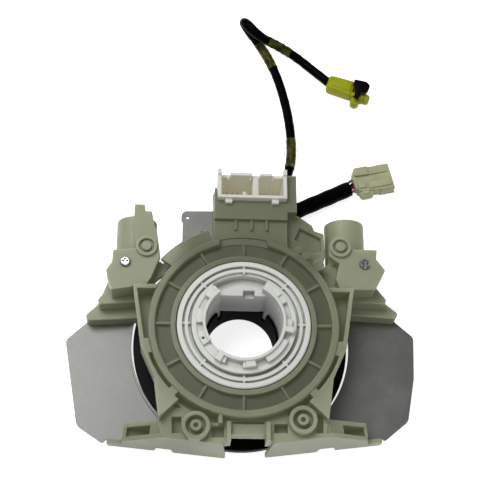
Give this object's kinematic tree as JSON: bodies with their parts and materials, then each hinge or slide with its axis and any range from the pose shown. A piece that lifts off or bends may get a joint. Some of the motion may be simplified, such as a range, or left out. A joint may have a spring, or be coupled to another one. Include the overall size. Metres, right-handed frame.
{
  "type": "steering clock spring",
  "caption": "Rotary ribbon-cable connector for a steering column, with switch bracket, plug header and leads with plugs.",
  "frame": {"origin": "centre of the column bore in the plane of the wheel side face, on which the part rests", "axes": "+Z along the turning axis towards the column side, +Y towards the plug header"},
  "size_m": [0.1904, 0.2769, 0.0514],
  "materials": {
    "case_plastic": "milky grey-green moulded plastic, satin",
    "hub_plastic": "white moulded plastic, satin",
    "dark_plastic": "black moulded plastic",
    "ribbon": "clear film with copper strips",
    "sheet": "grey sheet with a dull sheen",
    "screw_steel": "zinc-plated steel",
    "header_plastic": "off-white moulded plastic",
    "pin_brass": "tin-plated brass",
    "sleeve": "black vinyl sleeve, glossy",
    "tape": "olive-yellow film tape",
    "yellow_plastic": "yellow moulded plastic",
    "ivory_plastic": "ivory moulded plastic",
    "wire": "insulated wires"
  },
  "bodies": {
    "stator": {"ribbon_case": "case_plastic", "cover_ring": "case_plastic", "ribbon_cable": "ribbon", "shield_plate": "sheet", "switch_base": "case_plastic", "left_arm": "case_plastic", "right_arm": "case_plastic", "left_screw": "screw_steel", "right_screw": "screw_steel", "header_block": "case_plastic", "plug_header": "header_plastic", "header_pins": "pin_brass", "case_terminal": "dark_plastic"},
    "rotor": {"rotor_hub": "hub_plastic", "cam_collar": "hub_plastic", "front_disc": "dark_plastic", "airbag_outlet": "dark_plastic", "switch_outlet": "dark_plastic", "hub_terminal": "dark_plastic", "airbag_lead": "sleeve", "lead_tape_1": "tape", "lead_tape_2": "tape", "lead_tape_3": "tape", "airbag_plug": "yellow_plastic", "switch_harness": "sleeve", "switch_wires": "wire", "switch_plug": "ivory_plastic"},
    "lock": {"plug_lock": "dark_plastic"}
  },
  "joints": [
    {"name": "rotor_spin", "type": "hinge", "parent": "stator", "child": "rotor", "pos_m": [0, 0, 0], "axis": [0, 0, 1], "range_deg": [-900, 900]},
    {"name": "airbag_lock", "type": "slide", "parent": "rotor", "child": "lock", "axis": [0, 0, 1], "range_m": [0, 0.0025]}
  ]
}
